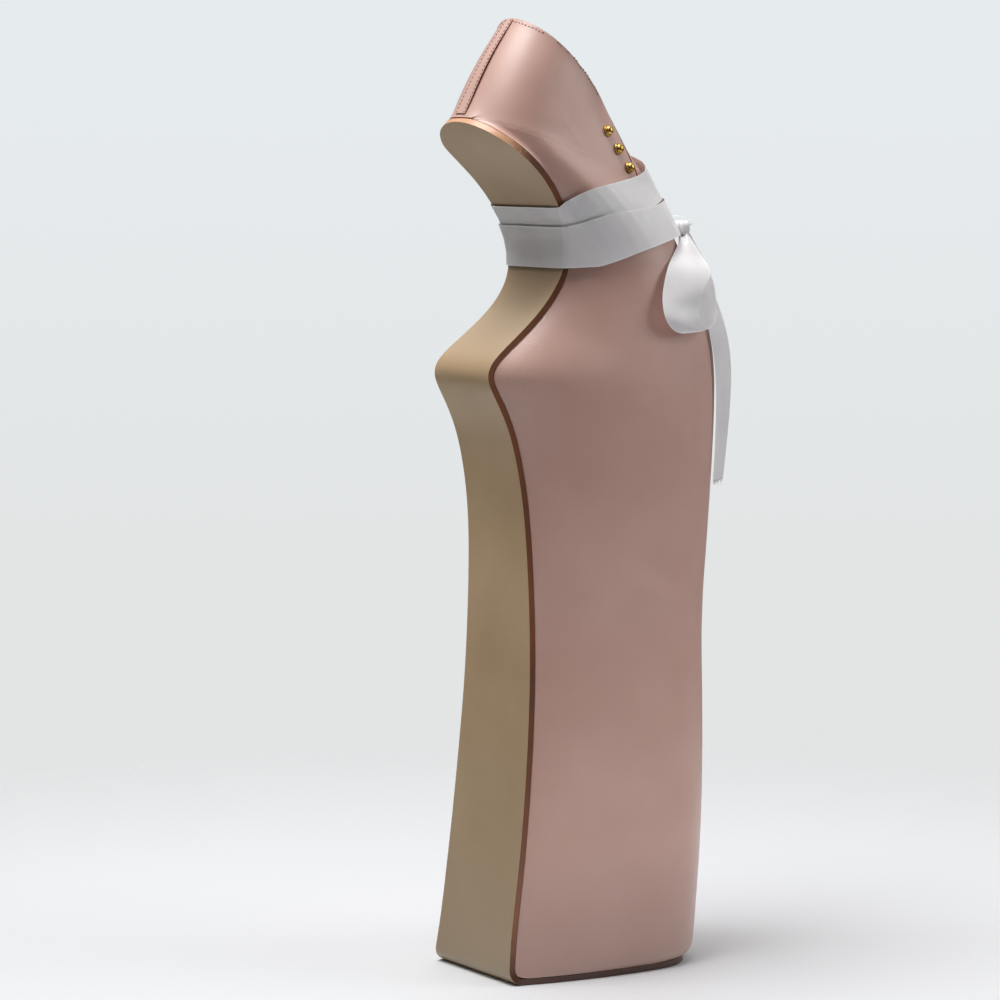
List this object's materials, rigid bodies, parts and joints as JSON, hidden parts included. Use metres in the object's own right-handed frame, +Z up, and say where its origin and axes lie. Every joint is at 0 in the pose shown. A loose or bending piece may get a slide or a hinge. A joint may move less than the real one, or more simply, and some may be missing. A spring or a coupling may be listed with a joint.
{
  "type": "platform ballet heel",
  "caption": "Very tall heel-less platform shoe that holds the foot almost upright: hollow leather upper, bent sole strip, solid platform, studded flap and a tied satin ribbon.",
  "frame": {"origin": "middle of the flat base that rests on the floor", "axes": "+X towards the toes, +Z up, -Y the outer side of the foot"},
  "size_m": [0.1477, 0.1112, 0.4601],
  "materials": {
    "sole_leather": "smooth beige sole leather with a burnished brown edge",
    "upper_leather": "smooth pink leather with a satin sheen",
    "platform_cork": "light cork and wood block, hidden inside the upper",
    "insole_leather": "plain unfinished lining leather",
    "gold": "polished gold",
    "satin": "white satin ribbon, slightly see-through"
  },
  "bodies": {
    "root": {"outsole": "sole_leather", "upper": "upper_leather", "platform": "platform_cork", "insole": "insole_leather", "back_strip": "upper_leather", "closure_underlap": "upper_leather", "stud_1": "gold", "stud_2": "gold", "stud_3": "gold", "ribbon_turn_upper": "satin", "ribbon_turn_lower": "satin", "ribbon_knot": "satin", "ribbon_loop_outer": "satin", "ribbon_loop_inner": "satin", "ribbon_tail_outer": "satin", "ribbon_tail_inner": "satin"}
  },
  "joints": []
}
